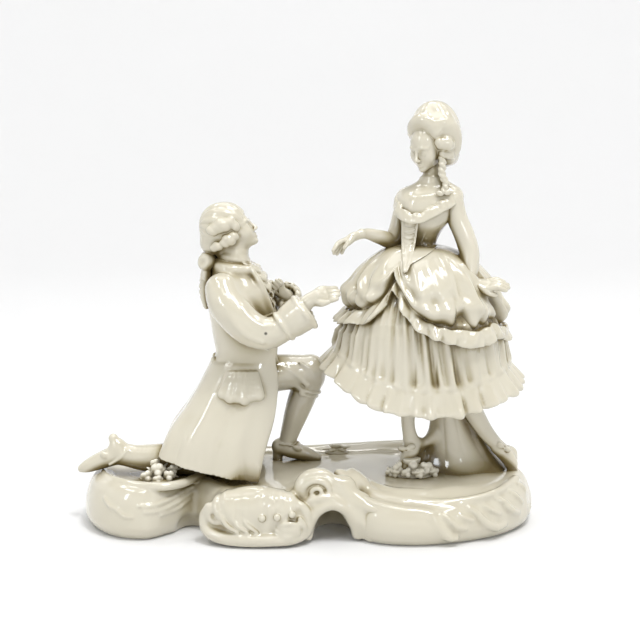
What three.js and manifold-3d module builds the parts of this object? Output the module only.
// Porcelain couple: a kneeling gentleman and a standing lady on a hollow scrolled base.
// Millimetres, +Z up. X runs along the base from the gentleman to the lady, and -Y is the front.
// The figures, tree stump, flowers and base were fired as one body, so they are one solid.
import * as THREE from "three";
import { mergeVertices } from "three/addons/utils/BufferGeometryUtils.js";
import Module from "manifold-3d";

const wasm = await Module();
wasm.setup();

// Driving dimensions
const PLATE_Z = 24; // top of the base, where the figures stand
const PLATE_THICKNESS = 7;
const FOOT_INSET = 4; // the foot ring stands in from the widest bulge of the base
const BASE_WALL = 7;
const RIM_DIP = 6.5; // how far the rim falls along the front of the right lobe
const LEFT_ROLL = 2; // extra height of the rim round the left lobe
const NICHE_TOP = 16; // height of the shaded arch between the centre and right lobes

const LADY_X = 57.5;
const LADY_Y = 3;
const HEM_Z = 60; // lowest point of the lady's hem, in front
const WAIST_Z = 137;
const DRESS_SAMPLES = 40; // round the skirts, two for each pleat of their frills
const OVERSKIRT_Z = 98; // lower edge of the overskirt on her left side
const OVERSKIRT_PEAK_Z = 122; // where the overskirt parts in front
const PARTING = -119; // degrees round the lady from +X
const FRILL_DROP = 6;

const GENTLEMAN_Y = -1;
const COAT_HEM_Z = 24.5; // where the coat touches the base, in front
const COAT_HEM_RISE = 0.22; // slope of the hem towards the back of the coat
const SHOULDER_Z = 126;

const PORCELAIN = 0xe6dfcb;
const TURN = 2 * Math.PI;

const at = (x, y, z) => new THREE.Vector3(x, y, z);
const mix = THREE.MathUtils.lerp;
const radians = THREE.MathUtils.degToRad;
const bump = (x, centre, width) => Math.exp(-(((x - centre) / width) ** 2));
const places = (rows) => rows.map((row) => at(...row));

// Point on a rounded rectangle of half sizes a and b: power 2 is an ellipse, 4 is squarer
function superellipse(angle, a, b, power) {
  const c = Math.cos(angle);
  const s = Math.sin(angle);
  const reach = (Math.abs(c) ** power + Math.abs(s) ** power) ** (-1 / power);
  return [a * c * reach, b * s * reach];
}

// One closed ring of points, each from its angle
const ringOf = (count, pointAt) =>
  Array.from({ length: count }, (_, i) => at(...pointAt((TURN * i) / count)));

// Bands of triangles between rings that all have the same number of points
function bands(rings) {
  const count = rings[0].length;
  const faces = [];
  for (let i = 0; i + 1 < rings.length; i++)
    for (let j = 0; j < count; j++) {
      const a = i * count + j;
      const b = i * count + ((j + 1) % count);
      faces.push(a, b, b + count, a, b + count, a + count);
    }
  return faces;
}

// Closed surface through rings. Short end rings close from their first point, long ones from a
// middle point.
function skin(rings) {
  const count = rings[0].length;
  const points = rings.flat();
  const faces = bands(rings);
  const close = (a, b, c, flip) => faces.push(...(flip ? [b, a, c] : [a, b, c]));
  for (const first of [0, points.length - count]) {
    const flip = first === 0;
    if (count < 9) {
      for (let j = 1; j + 1 < count; j++) close(first + j, first + j + 1, first, flip);
      continue;
    }
    const ring = points.slice(first, first + count);
    const middle = points.push(ring.reduce((sum, p) => sum.add(p), at(0, 0, 0)).divideScalar(count)) - 1;
    for (let j = 0; j < count; j++) close(first + j, first + ((j + 1) % count), middle, flip);
  }
  return new THREE.BufferGeometry().setFromPoints(points).setIndex(faces);
}

// Manifold solid of a closed geometry, turned face out if its rings ran the other way
function solid(geometry) {
  const bare = geometry.clone();
  bare.deleteAttribute("normal");
  bare.deleteAttribute("uv");
  const merged = mergeVertices(bare, 1e-4);
  const triVerts = new Uint32Array(merged.index.array);
  const vertProperties = new Float32Array(merged.attributes.position.array);
  const made = new wasm.Manifold(new wasm.Mesh({ numProp: 3, vertProperties, triVerts }));
  if (made.volume() > 0) return made;
  for (let i = 0; i < triVerts.length; i += 3)
    [triVerts[i + 1], triVerts[i + 2]] = [triVerts[i + 2], triVerts[i + 1]];
  return new wasm.Manifold(new wasm.Mesh({ numProp: 3, vertProperties, triVerts }));
}

const join = (solids) => solids.reduce((whole, part) => whole.add(part));

// Limb through points given as [x, y, z, radius]. flat squeezes it across its side direction,
// and round gives it domed ends.
function limb(rows, { sides = 6, steps = rows.length + 1, side, flat = 1, round = true } = {}) {
  const curve = new THREE.CatmullRomCurve3(places(rows.map((row) => row.slice(0, 3))));
  const radiusAt = (u) => {
    const place = u * (rows.length - 1);
    const low = Math.min(Math.floor(place), rows.length - 2);
    return mix(rows[low][3], rows[low + 1][3], place - low);
  };
  const start = curve.getTangent(0);
  const across = side ? side.clone() : at(start.z, start.x, start.y).cross(start);
  const ring = (u, shift, share) => {
    const tangent = curve.getTangent(u);
    across.addScaledVector(tangent, -across.dot(tangent)).normalize();
    const up = tangent.clone().cross(across);
    const radius = radiusAt(u);
    const centre = curve.getPoint(u).addScaledVector(tangent, shift * radius);
    return Array.from({ length: sides }, (_, j) => {
      const angle = (TURN * j) / sides;
      return centre
        .clone()
        .addScaledVector(across, share * radius * Math.cos(angle))
        .addScaledVector(up, share * flat * radius * Math.sin(angle));
    });
  };
  const rings = [];
  for (let i = 0; i <= steps; i++) rings.push(ring(i / steps, 0, 1));
  if (round) {
    rings.unshift(ring(0, -0.6, 0.66));
    rings.push(ring(1, 0.6, 0.66));
  }
  return solid(skin(rings));
}

// Ellipsoid at [x, y, z], turned by degrees about X, then Y, then Z
function ball(centre, radii, { turn = [0, 0, 0], across = 6, down = 4 } = {}) {
  const euler = new THREE.Euler(...turn.map(radians), "ZYX");
  const geometry = new THREE.SphereGeometry(1, across, down)
    .rotateX(Math.PI / 2)
    .scale(...radii)
    .applyQuaternion(new THREE.Quaternion().setFromEuler(euler))
    .translate(...centre);
  return solid(geometry);
}

// Small faceted bead, for pearls, petals and buds
const bead = (centre, radii) =>
  solid(new THREE.OctahedronGeometry(1).rotateZ(0.4).scale(...radii).translate(...centre));

// Ellipsoid of dressed hair: its surface swells in locks round its X or Z axis, tilted about Y
function dressedHair(centre, radii, { axis, count, depth, tilt = 0 }) {
  const geometry = new THREE.SphereGeometry(1, 12, 6);
  if (axis === "z") geometry.rotateX(Math.PI / 2);
  else geometry.rotateZ(Math.PI / 2);
  const place = geometry.attributes.position;
  for (let i = 0; i < place.count; i++) {
    const p = at(0, 0, 0).fromBufferAttribute(place, i);
    const [u, v] = axis === "z" ? [p.x, p.y] : [p.y, p.z];
    p.multiplyScalar(1 + depth * Math.hypot(u, v) * Math.cos(count * Math.atan2(v, u)));
    p.multiply(at(...radii)).applyAxisAngle(at(0, 1, 0), radians(tilt)).add(at(...centre));
    place.setXYZ(i, p.x, p.y, p.z);
  }
  return solid(geometry);
}

// Gathered frill: a cord along the points that swells at each pleat
function frill(rows, radius, pleats) {
  const curve = new THREE.CatmullRomCurve3(places(rows));
  const steps = 2 * pleats;
  const cord = Array.from({ length: steps + 1 }, (_, i) => {
    const p = curve.getPoint(i / steps);
    return [p.x, p.y, p.z, radius * (i % 2 ? 1.15 : 0.8)];
  });
  return limb(cord, { sides: 4, steps, round: false });
}

// Section of a hand, thumb side first: four finger ridges on the back, then the palm.
// [share of the half width, share of the half thickness]
const HAND_SECTION = [
  [-0.75, 1], [-0.5, 0.3], [-0.25, 1], [0, 0.3], [0.25, 1], [0.5, 0.3], [0.75, 1],
  [1, 0], [0.5, -0.8], [-0.5, -0.8], [-1, 0],
];

// Open hand from [x, y, z] of wrist, palm and fingertips; across runs from thumb to little finger
function hand(wrist, palm, tips, across, size = 1) {
  const side = at(...across).normalize();
  const middle = at(...palm);
  const reach = at(...tips).sub(middle);
  const back = side.clone().cross(reach).normalize();
  const ring = (centre, halfWidth, halfThickness, arch) =>
    HAND_SECTION.map(([u, v]) =>
      centre
        .clone()
        .addScaledVector(side, u * halfWidth * size)
        .addScaledVector(back, v * halfThickness * size)
        .addScaledVector(reach, -arch * u * u),
    );
  const rings = [
    ring(at(...wrist), 2.1, 1.7, 0),
    ring(middle, 3, 1.7, 0),
    ring(middle.clone().addScaledVector(reach, 0.4), 3.4, 1.4, 0.1),
    ring(at(...tips), 3.6, 0.8, 0.3),
  ];
  const thumbRoot = at(...wrist).lerp(middle, 0.6).addScaledVector(side, -size);
  const thumbEnd = thumbRoot.clone().addScaledVector(reach, 0.5).addScaledVector(side, -3 * size);
  const thumb = [[...thumbRoot, 1.2 * size], [...thumbEnd, 0.9 * size]];
  return join([solid(skin(rings)), limb(thumb, { sides: 4, steps: 1, round: false })]);
}

// Base

// Plan of the base from its right end through the three front lobes and back: [x, y]
const PLAN = [
  [114, 0], [110, -19], [96, -35], [76, -45], [55, -50], [36, -48], [25, -41], [19, -30],
  [12, -25], [5, -31], [1, -43], [-10, -49], [-24, -50], [-38, -48], [-47, -41], [-50, -31],
  [-56, -24], [-64, -31], [-77, -41], [-94, -38], [-107, -25], [-113, -5],
  [-109, 16], [-96, 32], [-72, 42], [-44, 43], [-10, 43], [24, 46], [54, 50], [84, 46], [106, 24],
];
const PLAN_CURVE = new THREE.CatmullRomCurve3(PLAN.map(([x, y]) => at(x, y, 0)), true);
const NICHES = [
  { x: 12.5, y: -31, halfWidth: 9, depth: 15, top: NICHE_TOP },
  { x: -57, y: -31, halfWidth: 8, depth: 12, top: 11 },
];

// Ring of the plan moved in by inset in small even steps, at the height that heightAt gives
function planRing(inset, heightAt, samples = 45) {
  let ring = Array.from({ length: samples }, (_, i) => PLAN_CURVE.getPointAt(i / samples));
  const steps = Math.ceil(inset / 1.5);
  for (let step = 0; step < steps; step++)
    ring = ring.map((p, i) => {
      const before = ring.at(i - 1);
      const after = ring[(i + 1) % samples];
      const along = after.clone().sub(before).normalize();
      const even = before.clone().add(after).multiplyScalar(0.5).lerp(p, 0.75);
      return even.add(at(along.y, -along.x, 0).multiplyScalar(inset / steps));
    });
  return ring.map((p) => at(p.x, p.y, heightAt(p.x, p.y)));
}

// The rim dips along the front of the right lobe, rises a little at the back, and stands as a
// roll round the left lobe
const rimHeight = (x, y) =>
  PLATE_Z - RIM_DIP * bump(x, 55, 38) * bump(y, -48, 22) + 4 * bump(x, 20, 85) * bump(y, 46, 13) +
  LEFT_ROLL * bump(x, -90, 34) * bump(y, -24, 26);

// Solid between rings of the plan, with flat triangulated ends
function planBody(rings) {
  const faces = bands(rings);
  const cap = (ring, first, direction) => {
    const flat = ring.map((p) => new THREE.Vector2(p.x, p.y));
    const around = THREE.ShapeUtils.area(flat) * direction;
    for (const [a, b, c] of THREE.ShapeUtils.triangulateShape(flat, [])) {
      const flip = THREE.ShapeUtils.area([flat[a], flat[b], flat[c]]) * around < 0;
      faces.push(first + a, first + (flip ? c : b), first + (flip ? b : c));
    }
  };
  cap(rings[0], 0, -1);
  cap(rings.at(-1), (rings.length - 1) * rings[0].length, 1);
  return solid(new THREE.BufferGeometry().setFromPoints(rings.flat()).setIndex(faces));
}

function base() {
  const body = planBody([
    planRing(FOOT_INSET, () => 0),
    planRing(0.2, () => 8),
    planRing(5, (x, y) => rimHeight(x, y) - 3),
    planRing(10, (x, y) => rimHeight(x, y) + 0.8),
    planRing(16, () => PLATE_Z),
  ]);
  const niche = ({ x, y, halfWidth, depth, top }, wall) =>
    ball([x, y, 0], [halfWidth + wall, depth + wall, top + wall], { across: 8, down: 4 });
  const inside = FOOT_INSET + BASE_WALL;
  const cavity = planBody([
    planRing(inside, () => -1, 23),
    planRing(inside + 3, () => PLATE_Z - PLATE_THICKNESS, 23),
  ]);
  const hollow = NICHES.reduce((left, place) => left.subtract(niche(place, BASE_WALL - 1)), cavity);
  return NICHES.reduce((left, place) => left.subtract(niche(place, 0)), body.subtract(hollow));
}

// Two rolls that sweep from the scroll along the front of the right lobe and meet at its end
function rightRolls() {
  const outer = [
    [17.5, -30, 31.5, 3], [19.5, -33, 26, 3.4], [26, -35, 20.5, 3], [36, -37, 18, 2.4],
    [50, -38.5, 17.2, 2.2], [64, -38.5, 17.8, 2.2], [80, -34, 20.6, 2], [96, -24, 24, 1.4],
  ];
  const inner = [
    [23.5, -26, 31, 2.4], [28.5, -28, 26, 2.6], [37, -30, 22, 2.2], [50, -31.5, 20, 2],
    [64, -31.5, 20.4, 1.8], [80, -28, 22, 1.4],
  ];
  const shape = { sides: 4, round: false };
  return join([
    limb(outer, { ...shape, steps: 8 }),
    limb(inner, { ...shape, steps: 6 }),
    ball([21, -27, 24], [10, 7, 7.5]),
  ]);
}

// C-scroll that stands over the niche: its band, its curl and the lip along the arch
function centreScroll() {
  const band = [
    [-5, -36, 18, 2.4], [-4, -34.5, 24, 3.4], [-1, -33, 29.5, 3.6], [6.5, -32, 31.4, 3.6],
    [13, -32, 28.6, 3.4], [16.5, -34, 23.4, 3], [22, -37, 18.6, 2.4], [27, -40, 15.5, 1.6],
  ];
  const curl = [[-1, -35, 20, 2], [5, -34.5, 22.6, 2.4], [11, -34, 22.6, 2]];
  const lip = [
    [-0.5, -39.5, 7, 2.2], [4.6, -40, 15, 2.8], [12.5, -40, 19, 2.8], [20.4, -39.6, 14.5, 2.6],
    [25.8, -38.8, 7, 2.2],
  ];
  return join([
    limb(band, { sides: 5, steps: 8, round: false }),
    limb(curl, { sides: 4, steps: 2 }),
    limb(lip, { sides: 4, steps: 5, round: false }),
    ball([8, -29, 22], [13, 8, 6]),
  ]);
}

// Shell cartouche of the centre lobe: flutes over a curled lip, pearls and a basket
function centreShell() {
  const flutes = [-40, -30.6, -21.3, -12].map((x, i) =>
    limb([[x + 2, -35, 22 + (i % 2), 2], [x, -43.5, 19.4, 4.2], [x + 1, -46.5, 7, 3]], {
      sides: 4,
      steps: 2,
      round: false,
    }),
  );
  const pearls = [[-21.2, -47.6, 13.6], [-14.4, -47.4, 14.4], [-7.6, -45.8, 15.2]];
  const lip = [
    [-45, -39, 17.5, 2], [-48.5, -37, 14, 2.4], [-48.6, -39, 8, 2.6], [-42, -45, 4, 2.8],
    [-28, -47.6, 3, 2.6], [-14, -47.6, 4.4, 2.6],
  ];
  return join([
    ...flutes,
    ...pearls.map((centre) => bead(centre, [2.3, 2.4, 2.3])),
    bead([-8, -47.4, 8.4], [5, 3.6, 4]),
    limb(lip, { sides: 4, steps: 5, round: false }),
  ]);
}

// Acanthus strokes down the cushion of the right lobe
function leafStrokes() {
  const tops = [[60, -45], [74, -41.5], [87, -36], [98, -27]];
  return join(
    tops.map(([x, y], i) =>
      limb([[x - 5, y + 4, 18 + 0.6 * i, 1], [x, y + 0.6, 14 + i, 2.2], [x + 4.5, y + 1.2, 8 + i, 1.8]], {
        sides: 4,
        steps: 2,
        round: false,
      }),
    ),
  );
}

// Applied flowers: leaves spread on the base, a blossom of five petals over them, and buds
function posy(x, y, reach, buds) {
  // share of the reach, height over the plate, depth of the notches between leaves or petals
  const levels = [
    [1, -1, 0.12], [0.9, 1.2, 0.16], [0.34, 2.4, 0.1],
    [0.46, 4, 0.16], [0.4, 5.4, 0.16], [0.1, 4.6, 0],
  ];
  const rings = levels.map(([share, height, notch]) =>
    ringOf(10, (angle) => {
      const r = share * reach * (1 + notch * Math.cos(5 * angle));
      return [x + r * Math.cos(angle), y + 0.64 * r * Math.sin(angle), PLATE_Z + height];
    }),
  );
  const bud = (degrees) => {
    const angle = radians(degrees);
    const centre = [x + 0.8 * reach * Math.cos(angle), y + 0.5 * reach * Math.sin(angle), PLATE_Z + 2];
    return bead(centre, [2.5, 2.5, 2.2]);
  };
  return join([solid(skin(rings)), ...buds.map(bud)]);
}

// Lady

// The hem rises to both sides, more on the side of the gentleman
function hemHeight(angle) {
  const side = Math.abs(Math.cos(angle)) ** 2.2;
  return HEM_Z + side * (Math.cos(angle) < 0 ? 18 : 9) + (Math.sin(angle) > 0 ? 2 : 0);
}

// Ring round the lady at its own size and height, both worked out from the angle
function dressRing(sizeAt, heightAt, shift = 0) {
  let sample = 0;
  return ringOf(DRESS_SAMPLES, (angle) => {
    const [a, b] = sizeAt(angle, sample++ % 2 ? 1 : -1);
    const [x, y] = superellipse(angle, a, b, 2.1);
    return [LADY_X + shift + x, LADY_Y + y, heightAt(angle)];
  });
}

// Petticoat with a pleated flounce at its hem, recessed underneath
function petticoat() {
  // share of the way up to the waist, half width, half depth, pleat depth, fold depth
  const levels = [
    [0.1, 40, 31, 0, 0],
    [0, 48.6, 38.4, 1, 0],
    [0.02, 51, 40.6, 1.2, 0],
    [0.16, 44.2, 34.9, 0.5, 0.8],
    [0.19, 43, 33.8, 0, 1.2],
    [0.5, 40, 31, 0, 1.2],
    [0.76, 32, 25, 0, 0],
  ];
  const rings = levels.map(([share, a, b, pleat, fold]) =>
    dressRing(
      (angle, zigzag) => {
        const wave = pleat * zigzag + fold * Math.cos(11 * angle + 5 * share);
        return [a + wave, b + wave];
      },
      (angle) => mix(hemHeight(angle), WAIST_Z, share),
    ),
  );
  return solid(skin(rings));
}

// Lower edge of the overskirt: it peaks where the overskirt parts, and hangs higher on her right
function overskirtEdge(angle) {
  const round = ((THREE.MathUtils.radToDeg(angle) - PARTING + 540) % 360) - 180;
  const left = THREE.MathUtils.smoothstep(-Math.cos(angle), 0.1, 0.8);
  const edge = OVERSKIRT_Z + 9 * left;
  const peak = Math.exp(round > 0 ? -round / 21 : round / 9);
  return mix(edge, OVERSKIRT_PEAK_Z, peak);
}

// Looped-up overskirt: a dome drawn into puffs by gathers at the hips, with a frill at its edge
function overskirt() {
  const gathers = [PARTING, -36, 28, 90, 150];
  const puffed = (angle) => {
    const degrees = THREE.MathUtils.radToDeg(angle);
    const nearest = Math.min(...gathers.map((g) => Math.abs(((degrees - g + 540) % 360) - 180)));
    return THREE.MathUtils.smoothstep(nearest, 0, 22);
  };
  const rings = [];
  for (const climb of [10, 38, 64, 90]) {
    const out = Math.sin(radians(climb));
    const up = Math.cos(radians(climb));
    rings.push(
      dressRing(
        (angle) => {
          const swell = 4.2 * puffed(angle) * Math.sin(radians(1.7 * climb));
          const fold = 0.9 * out * Math.cos(17 * angle);
          return [7 + 31 * out + swell + fold, 6 + 26.5 * out + swell + fold];
        },
        (angle) => mix(overskirtEdge(angle), WAIST_Z + (Math.cos(angle) < 0 ? 3 : 1), up),
      ),
    );
  }
  const frill = [[40, 35, 1, 0.6], [42.6, 37.6, FRILL_DROP, 1.3], [36, 31, FRILL_DROP - 1, 0.4]];
  for (const [a, b, drop, pleat] of frill)
    rings.push(
      dressRing(
        (angle, zigzag) => [a + pleat * zigzag, b + pleat * zigzag],
        (angle) => overskirtEdge(angle) - drop,
      ),
    );
  return solid(skin(rings));
}

// Turned outline of the lady's bodice and bust: [height, x, y, half width, half depth]
function bodice() {
  const levels = [
    [128, 55, 4, 9.4, 7.6], [137, 55.2, 3.8, 8.2, 6.8], [144, 56, 3.2, 9.8, 8],
    [151, 57.2, 2.4, 12, 9.2], [156, 58.4, 2.2, 12.6, 8.6], [161, 59.8, 2.8, 13, 6.6],
    [165, 60.8, 3, 10.8, 5.2], [169.5, 61.6, 3, 6.6, 4.6],
  ];
  const turn = radians(-27);
  const rings = levels.map(([z, x, y, a, b]) =>
    ringOf(12, (angle) => {
      const [u, v] = superellipse(angle, a, b, 2.2);
      return [x + u * Math.cos(turn) - v * Math.sin(turn), y + u * Math.sin(turn) + v * Math.cos(turn), z];
    }),
  );
  const point = [[49.5, -5, 149, 3], [48.4, -5, 139, 2.6], [47.8, -9.6, 129, 1.2]];
  return join([solid(skin(rings)), limb(point, { sides: 4, steps: 2, round: false })]);
}

// Frilled neckline that leaves both shoulders bare
function neckline() {
  const front = [
    [73.6, -1, 163], [73, -6, 162], [68, -9.5, 158.6], [60, -10, 154.6], [51.5, -8.5, 152.6],
    [46, -3, 154], [44.4, 4, 156.6], [46, 10, 158],
  ];
  const back = [[46, 10, 158], [55, 11, 160], [65, 7, 161.5], [73.6, -1, 163]];
  return join([frill(front, 2.5, 6), frill(back, 2, 2)]);
}

function ladyArms() {
  const nearGentleman = [
    [48, 8, 159.5, 4.8], [46.6, 7, 151, 4.4], [43.6, 4.4, 141.6, 4.2], [35.6, 0, 143.4, 3.6],
    [28, -5.6, 145.2, 2.3],
  ];
  const awayFromHim = [
    [70.6, -3, 160, 5], [73.2, -3, 151, 4.7], [77.4, -4.6, 142.6, 4.5], [80, -7.6, 134, 4.2],
    [81.4, -11.4, 126, 2.5],
  ];
  const shape = { sides: 5, steps: 6, round: false };
  return join([
    limb(nearGentleman, shape),
    limb(awayFromHim, shape),
    hand([28, -5.6, 145.2], [22, -8.6, 143.8], [16, -11.6, 137.4], [0.62, -0.78, -0.05]),
    hand([81.4, -11.4, 125.6], [86.8, -14, 123.6], [96.4, -16, 122.4], [0.06, -0.72, -0.69]),
  ]);
}

// Head turned and bowed towards the gentleman, under a high dressed wig with side curls
function ladyHead() {
  const curl = { sides: 5, steps: 2, round: false };
  const tress = Array.from({ length: 8 }, (_, i) => [
    65.6 + 0.7 * i,
    -1.6 - 0.6 * i,
    181 - 2.2 * i,
    i % 2 ? 2.4 : 1.7,
  ]);
  return join([
    limb([[61.8, 3, 165, 5], [61.8, 2.8, 170, 4.1], [61.4, 2.4, 179, 4.2]], { steps: 2, round: false }),
    limb([[60, 1.4, 190, 6.2], [57.4, -0.6, 184.6, 6.6], [56, -1.8, 180.4, 5.2], [55.6, -2.4, 177.6, 3]], {
      sides: 8,
      steps: 3,
    }),
    bead([51.6, -5, 184], [1.6, 1.4, 2.6]),
    dressedHair([63, 4, 194.6], [12, 11, 15.3], { axis: "z", count: 7, depth: 0.05, tilt: -6 }),
    limb([[51.6, -2, 193.4, 2], [56.4, -6.2, 195.6, 3], [63, -6.4, 195.4, 3], [68.6, -4, 193, 2]], {
      sides: 4,
      steps: 3,
      round: false,
    }),
    limb([[64, -5, 189, 2.8], [69, -4, 188, 4.2], [73.4, 0, 188, 2.8]], curl),
    limb([[64.4, -4, 182.6, 2], [68.4, -2, 182, 3.2], [72, 2, 182.4, 2.2]], curl),
    limb(tress, { sides: 3, steps: 7, round: false }),
  ]);
}

// Tree stump that carries the skirt, with the lady's legs and heeled shoes
function stumpAndLegs() {
  const levels = [
    [PLATE_Z - 2, 78, 6, 23, 14], [28, 77.6, 6, 20, 12.2], [35, 76.4, 6, 16, 10.8],
    [45, 75, 6, 12.4, 9.6], [78, 74, 6, 10, 9],
  ];
  const rings = levels.map(([z, x, y, a, b]) =>
    ringOf(10, (angle) => {
      const wave = 0.8 * Math.cos(4 * angle + z / 14);
      return [x + (a + wave) * Math.cos(angle), y + (b + wave) * Math.sin(angle), z];
    }),
  );
  const standing = [[51.4, 0, 86, 5.6], [50.6, -2, 60, 4.2], [50.4, -3, 48, 3.2], [52.6, -2.4, 36, 4]];
  const trailing = [[69, -1.4, 84, 7], [80, -2.2, 61, 5.6], [89.4, -3, 45.4, 4.1], [97.4, -3, 35, 3.4]];
  const shape = { sides: 5, steps: 3, round: false };
  return join([
    solid(skin(rings)),
    limb(standing, shape),
    limb([[54.6, -1, 37.4, 4], [51, -5, 33, 3.8], [46.8, -10.6, 26.2, 2.4]], { ...shape, steps: 2 }),
    limb([[56.4, 0, 37, 2.8], [57.6, 1.4, PLATE_Z - 1, 2]], { sides: 4, steps: 1, round: false }),
    limb([[57, 0, 39, 2.2], [66, 3, 46, 3]], { sides: 4, steps: 1, round: false }),
    bead([46.8, -3.6, 36.4], [2.9, 2.2, 2]),
    limb(trailing, shape),
    limb(
      [[96.6, -2.8, 36, 3.6], [101.8, -2, 30.6, 3.7], [103.8, -2.6, PLATE_Z, 2.6]],
      { ...shape, steps: 2 },
    ),
    bead([103.6, -0.6, 34.6], [2.4, 2.6, 3.2]),
  ]);
}

// Gentleman

// Frock coat: its hem lies on the base in front and lifts towards the back of the kneeling figure
function coat() {
  // share of the way up to the shoulder, x, y, half length, half width, squareness, fold depth
  const levels = [
    [0, -46.6, -1.4, 27, 27.6, 3.4, 1],
    [0.15, -43, -1, 25.6, 25.6, 3.2, 1],
    [0.3, -37, -0.6, 23, 21.6, 3, 0.7],
    [0.45, -32.2, 0, 19.4, 17, 2.8, 0.3],
    [0.57, -29.9, 0.2, 16.8, 13.4, 2.4, 0],
    [0.7, -31.4, 0.4, 16.6, 15, 2.2, 0],
    [0.84, -33.8, 0.8, 16.4, 17.4, 2.2, 0],
    [0.94, -36, 1, 13.4, 16.4, 2.2, 0],
    [1.03, -37.6, 1, 8, 8, 2, 0],
  ];
  const rings = levels.map(([share, x, y, a, b, power, fold]) =>
    ringOf(20, (angle) => {
      const wave = fold * Math.cos(7 * angle + 1);
      const [u, v] = superellipse(angle, a + wave, b + wave, power);
      const hem = COAT_HEM_Z + COAT_HEM_RISE * Math.max(0, -20 - (x + u));
      return [x + u, GENTLEMAN_Y + y + v, mix(hem, SHOULDER_Z, share)];
    }),
  );
  return solid(skin(rings));
}

// Front edges and deep pocket flaps, the same on both sides of the coat
function coatTrim() {
  return join(
    [-1, 1].flatMap((side) => {
      const out = (reach) => GENTLEMAN_Y + side * reach;
      const edge = [
        [-14.6, out(3), 100, 1.2], [-13.6, out(7), 83, 1.8], [-14, out(10.6), 68, 1.8],
        [-16, out(15), 52, 1.8], [-19, out(20), 36, 1.8], [-21, out(23), PLATE_Z, 1.6],
      ];
      const flap = [[-33, out(15), 81.4, 8], [-31.6, out(21), 67, 10]];
      return [
        limb(edge, { sides: 4, steps: 4, round: false }),
        limb(flap, { sides: 6, steps: 1, side: at(1, 0, 0), flat: 0.36, round: false }),
      ];
    }),
  );
}

// Sleeves with deep turned-back cuffs: the near arm reaches out, the far hand lies on the heart
function gentlemanArms() {
  const near = [
    [-40.6, -16, 117.6, 8.8], [-35, -20, 110.6, 8.5], [-27, -23, 103, 8], [-19, -24.4, 99.6, 7.3],
    [-10, -24, 104, 6.8],
  ];
  const nearCuff = [[-12, -24.4, 102.6, 7.4], [-0.8, -22.4, 109.6, 9]];
  const far = [[-38.6, 16, 117.6, 9], [-27, 22, 107.6, 8.2], [-14, 23, 101.4, 7.4], [-9, 18, 106, 6.4]];
  const farCuff = [[-10, 20, 104, 6.4], [-10.4, 14, 110, 7.6]];
  return join([
    limb(near, { sides: 7, steps: 5, round: false }),
    limb(nearCuff, { sides: 8, steps: 1, round: false }),
    hand([-6, -22.4, 113.4], [6.6, -20, 119], [16, -18.4, 120.8], [0.05, -0.5, 0.86], 1.15),
    limb(far, { sides: 6, steps: 3, round: false }),
    limb(farCuff, { sides: 7, steps: 1, round: false }),
    limb(
      [[-11, 14, 110, 3.4], [-15, 7, 115, 4], [-19, 0, 119.4, 2.6]],
      { sides: 5, steps: 2, flat: 0.6, round: false },
    ),
    frill([[-18, 12, 114], [-16, 6, 116.4], [-11, 4.4, 113.6], [-6, 8, 108.6]], 2.6, 3),
  ]);
}

// Cravat round the neck and the frilled jabot that falls from it
function cravat() {
  const fall = [[-31, 0, 131.6, 3.6], [-26.8, 0, 127.4, 4], [-22.8, 0, 121.6, 4], [-20.4, 0, 112, 3]];
  return join([
    limb([[-39, 0, 125, 10], [-36.6, 0, 132, 8.2], [-35.4, 0, 139, 6.6]], {
      sides: 7,
      steps: 1,
      round: false,
    }),
    limb(fall, { sides: 4, steps: 3, round: false }),
    frill([[-30, -4.4, 130], [-25, -4.4, 124.6], [-21.6, -4.2, 116]], 2.3, 3),
  ]);
}

// Head raised towards the lady, with a tied wig: two rolls of curls each side, bow and queue
function gentlemanHead() {
  const curl = { sides: 4, steps: 2, round: false };
  const curls = [-1, 1].flatMap((side) => [
    limb([[-48, side * 8, 146.4, 2.8], [-41, side * 9.2, 149.2, 3.8], [-34, side * 8, 151.4, 2.8]], curl),
    limb([[-45, side * 7.6, 139.6, 2.6], [-38, side * 8.8, 142, 3.4], [-33.4, side * 8, 146.2, 2.4]], curl),
  ]);
  return join([
    limb([[-36.4, 0, 150.4, 7.6], [-32.8, 0, 145.6, 8.2], [-29.6, 0, 141.4, 6.6], [-27.8, 0, 138.8, 4]], {
      sides: 8,
      steps: 3,
    }),
    bead([-25.2, 0, 147], [2.3, 1.5, 2.8]),
    dressedHair([-41, 0, 148.4], [12.4, 9.6, 12], { axis: "x", count: 7, depth: 0.03 }),
    ...curls,
    ball([-48.6, 0, 130.4], [4, 7.6, 4.4], { turn: [0, 10, 0], across: 6, down: 3 }),
    limb([[-46, 0, 138, 3.4], [-47.4, 0, 130, 3], [-48.4, 0, 121, 3.6], [-48.6, 0, 108, 1.6]], {
      sides: 4,
      steps: 3,
      round: false,
    }),
  ]);
}

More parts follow.
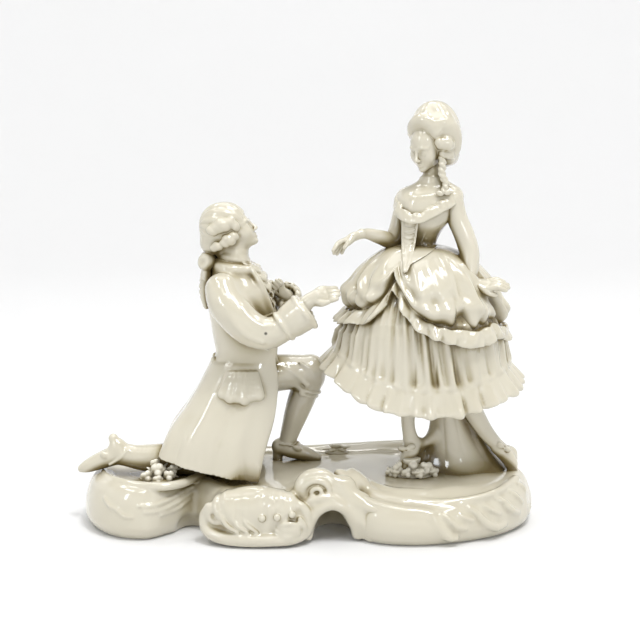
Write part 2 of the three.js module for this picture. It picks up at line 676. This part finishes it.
// Near leg kneeling, stretched back over the edge of the base; far foot flat in front of him
function gentlemanLegs() {
  const shin = [
    [0.8, 18, 70, 7.4], [-1.4, 18, 62, 7.2], [-4.2, 18, 54, 6.9], [-8.2, 18, 42, 5.4],
    [-11.2, 18, 32, 4.4],
  ];
  const calf = { steps: 4, round: false };
  const shoe = { sides: 5, steps: 2, round: false };
  return join([
    limb([[-52, -8, 33, 8.6], [-70, -7.6, 33, 7.6], [-84, -8, 34.4, 5.4], [-93, -8, 35, 4.4]], calf),
    limb([[-89, -8, 36.4, 4.8], [-102, -8, 32.4, 4.4], [-113.6, -8, 27, 2.6]], shoe),
    limb([[-92, -8, 36, 3.6], [-98.6, -8, 42.4, 2.6]], { ...shoe, steps: 1 }),
    limb([[-30, 12, 71, 10.4], [-12, 16, 70.6, 9.8], [1, 18, 71.4, 7.9]], { sides: 7, steps: 2 }),
    limb(shin, calf),
    limb([[-14, 18, 30.6, 4.6], [-5, 17.4, 28.4, 4.2], [6.4, 16.4, 25, 2]], shoe),
    limb([[-15.6, 18, 31, 3.2], [-16, 18, PLATE_Z - 1, 3]], { ...shoe, steps: 1 }),
  ]);
}

const couple = join([
  base(),
  rightRolls(),
  centreScroll(),
  centreShell(),
  leafStrokes(),
  posy(52, -9, 12, [185, 355]),
  posy(-75, -17, 8, [200]),
  ball([15, 30, PLATE_Z + 1], [6, 3, 3], { across: 6, down: 4 }),
  stumpAndLegs(),
  petticoat(),
  overskirt(),
  bodice(),
  neckline(),
  ladyArms(),
  ladyHead(),
  coat(),
  coatTrim(),
  gentlemanArms(),
  cravat(),
  gentlemanHead(),
  gentlemanLegs(),
]);

// Geometry of a finished solid
function geometryOf(made) {
  const { vertProperties, triVerts, numProp } = made.getMesh();
  const positions = new Float32Array((vertProperties.length / numProp) * 3);
  for (let i = 0; i < positions.length / 3; i++)
    positions.set(vertProperties.subarray(i * numProp, i * numProp + 3), 3 * i);
  return new THREE.BufferGeometry()
    .setAttribute("position", new THREE.BufferAttribute(positions, 3))
    .setIndex(new THREE.BufferAttribute(triVerts, 1));
}

const figurine = new THREE.Mesh(
  geometryOf(couple),
  new THREE.MeshStandardMaterial({ color: PORCELAIN, roughness: 0.12, metalness: 0 }),
);
figurine.name = "porcelain_couple";

const group = new THREE.Group();
group.add(figurine);

export default group;
